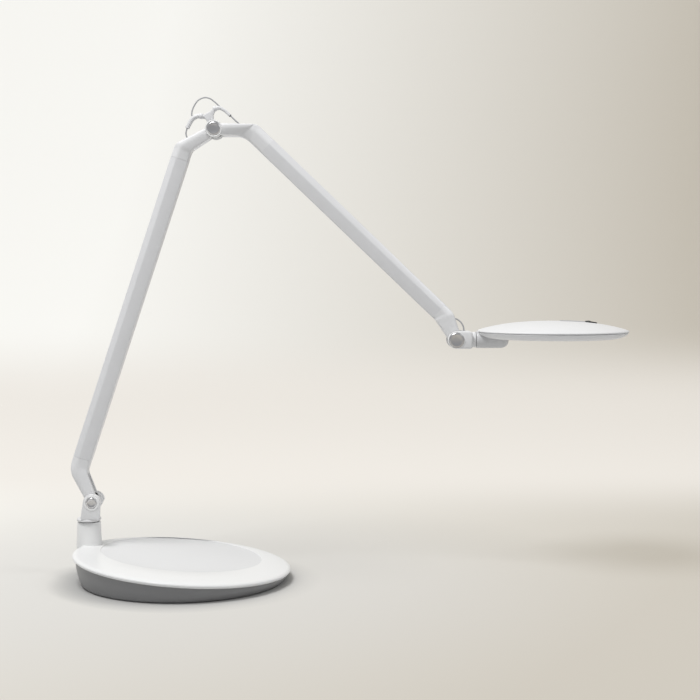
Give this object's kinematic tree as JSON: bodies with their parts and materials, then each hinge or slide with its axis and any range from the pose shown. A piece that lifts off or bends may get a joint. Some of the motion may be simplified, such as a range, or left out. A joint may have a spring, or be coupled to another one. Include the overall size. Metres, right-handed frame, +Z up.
{
  "type": "desk lamp",
  "caption": "Desk lamp: round wedge base with a short post at its rim, two cranked tubular arms, elbow cable yoke, flat disc head with a top switch.",
  "frame": {"origin": "centre of the base underside, on the surface the lamp stands on", "axes": "+X from the post side towards the head, +Y away from the side with the caps in the picture, +Z up"},
  "size_m": [0.5969, 0.2306, 0.5109],
  "materials": {
    "rubber_pad": "matt moulded rubber",
    "zinc_steel": "zinc plated",
    "grey_skirt": "grey satin paint",
    "cast_iron_core": "rough cast",
    "white_enamel": "white satin powder coat",
    "black_plastic": "matt",
    "bush_plastic": "natural acetal, black",
    "white_casting": "painted die casting",
    "spring_steel": "bright",
    "grey_cap": "satin metal cap",
    "white_tube": "white painted extrusion",
    "yoke_plastic": "moulded nylon, pale grey",
    "wire_sheath": "thin grey sheath",
    "white_shell": "satin moulded shell",
    "grey_strip": "satin",
    "rim_plastic": "satin moulded ring",
    "opal_diffuser": "opal sheet",
    "clear_guide": "clear acrylic",
    "led_board": "aluminium core board",
    "grey_barrel": "grey satin paint"
  },
  "bodies": {
    "base": {"base_pad": "rubber_pad", "base_floor": "zinc_steel", "base_skirt": "grey_skirt", "base_weight": "cast_iron_core", "base_top_plate": "white_enamel", "base_screws": "zinc_steel", "dc_inlet": "black_plastic", "post": "white_enamel", "swivel_bush": "bush_plastic", "thrust_washer": "bush_plastic"},
    "swivel": {"swivel_clevis": "white_casting", "shaft_clip": "spring_steel", "shoulder_pin": "spring_steel", "shoulder_caps": "grey_cap"},
    "lower_arm": {"lower_root_casting": "white_casting", "lower_tube": "white_tube", "lower_spring": "spring_steel", "lower_elbow_casting": "white_casting"},
    "yoke": {"cable_yoke": "yoke_plastic", "elbow_wire": "wire_sheath", "wire_stub_lower": "wire_sheath", "wire_stub_upper": "wire_sheath"},
    "upper_arm": {"upper_elbow_casting": "white_casting", "elbow_pin": "spring_steel", "elbow_caps": "grey_cap", "upper_tube": "white_tube", "upper_spring": "spring_steel", "upper_head_casting": "white_casting"},
    "knuckle": {"head_knuckle": "white_casting", "head_pin": "spring_steel", "head_caps": "grey_cap", "head_wire": "wire_sheath"},
    "head": {"head_barrel": "grey_barrel", "head_cover": "white_shell", "head_rim_ring": "rim_plastic", "led_board": "led_board", "light_guide": "clear_guide", "diffuser": "opal_diffuser", "control_strip": "grey_strip"},
    "button": {"dimmer_button": "black_plastic"}
  },
  "joints": [
    {"name": "post_swivel", "type": "hinge", "parent": "base", "child": "swivel", "pos_m": [-0.1059, 0.036, 0.05], "axis": [0, 0, 1], "range_deg": [-170, 170]},
    {"name": "shoulder_lean", "type": "hinge", "parent": "swivel", "child": "lower_arm", "pos_m": [-0.1006, 0.036, 0.0778], "axis": [0, 1, 0], "range_deg": [-35, 50]},
    {"name": "elbow_bend", "type": "hinge", "parent": "lower_arm", "child": "upper_arm", "pos_m": [0.032, 0.036, 0.475], "axis": [0, 1, 0], "range_deg": [-76, 40], "deforming": ["wire_stub_upper"]},
    {"name": "yoke_turn", "type": "hinge", "parent": "lower_arm", "child": "yoke", "pos_m": [0.032, 0.036, 0.475], "axis": [0, 1, 0], "range_deg": [-38, 20], "deforming": ["wire_stub_lower"]},
    {"name": "head_tilt", "type": "hinge", "parent": "upper_arm", "child": "knuckle", "pos_m": [0.2887, 0.036, 0.252], "axis": [0, 1, 0], "range_deg": [-34, 60], "deforming": ["head_wire"]},
    {"name": "head_roll", "type": "hinge", "parent": "knuckle", "child": "head", "pos_m": [0.31, 0.036, 0.252], "axis": [1, 0, 0], "range_deg": [-60, 60]},
    {"name": "button_press", "type": "slide", "parent": "head", "child": "button", "axis": [0, 0, -1], "range_m": [0, 0.001], "stiffness_N_per_m": 300, "springref_m": -0.001}
  ],
  "couplings": [
    {"joint": "yoke_turn", "follows": "elbow_bend", "ratio": 0.5}
  ]
}
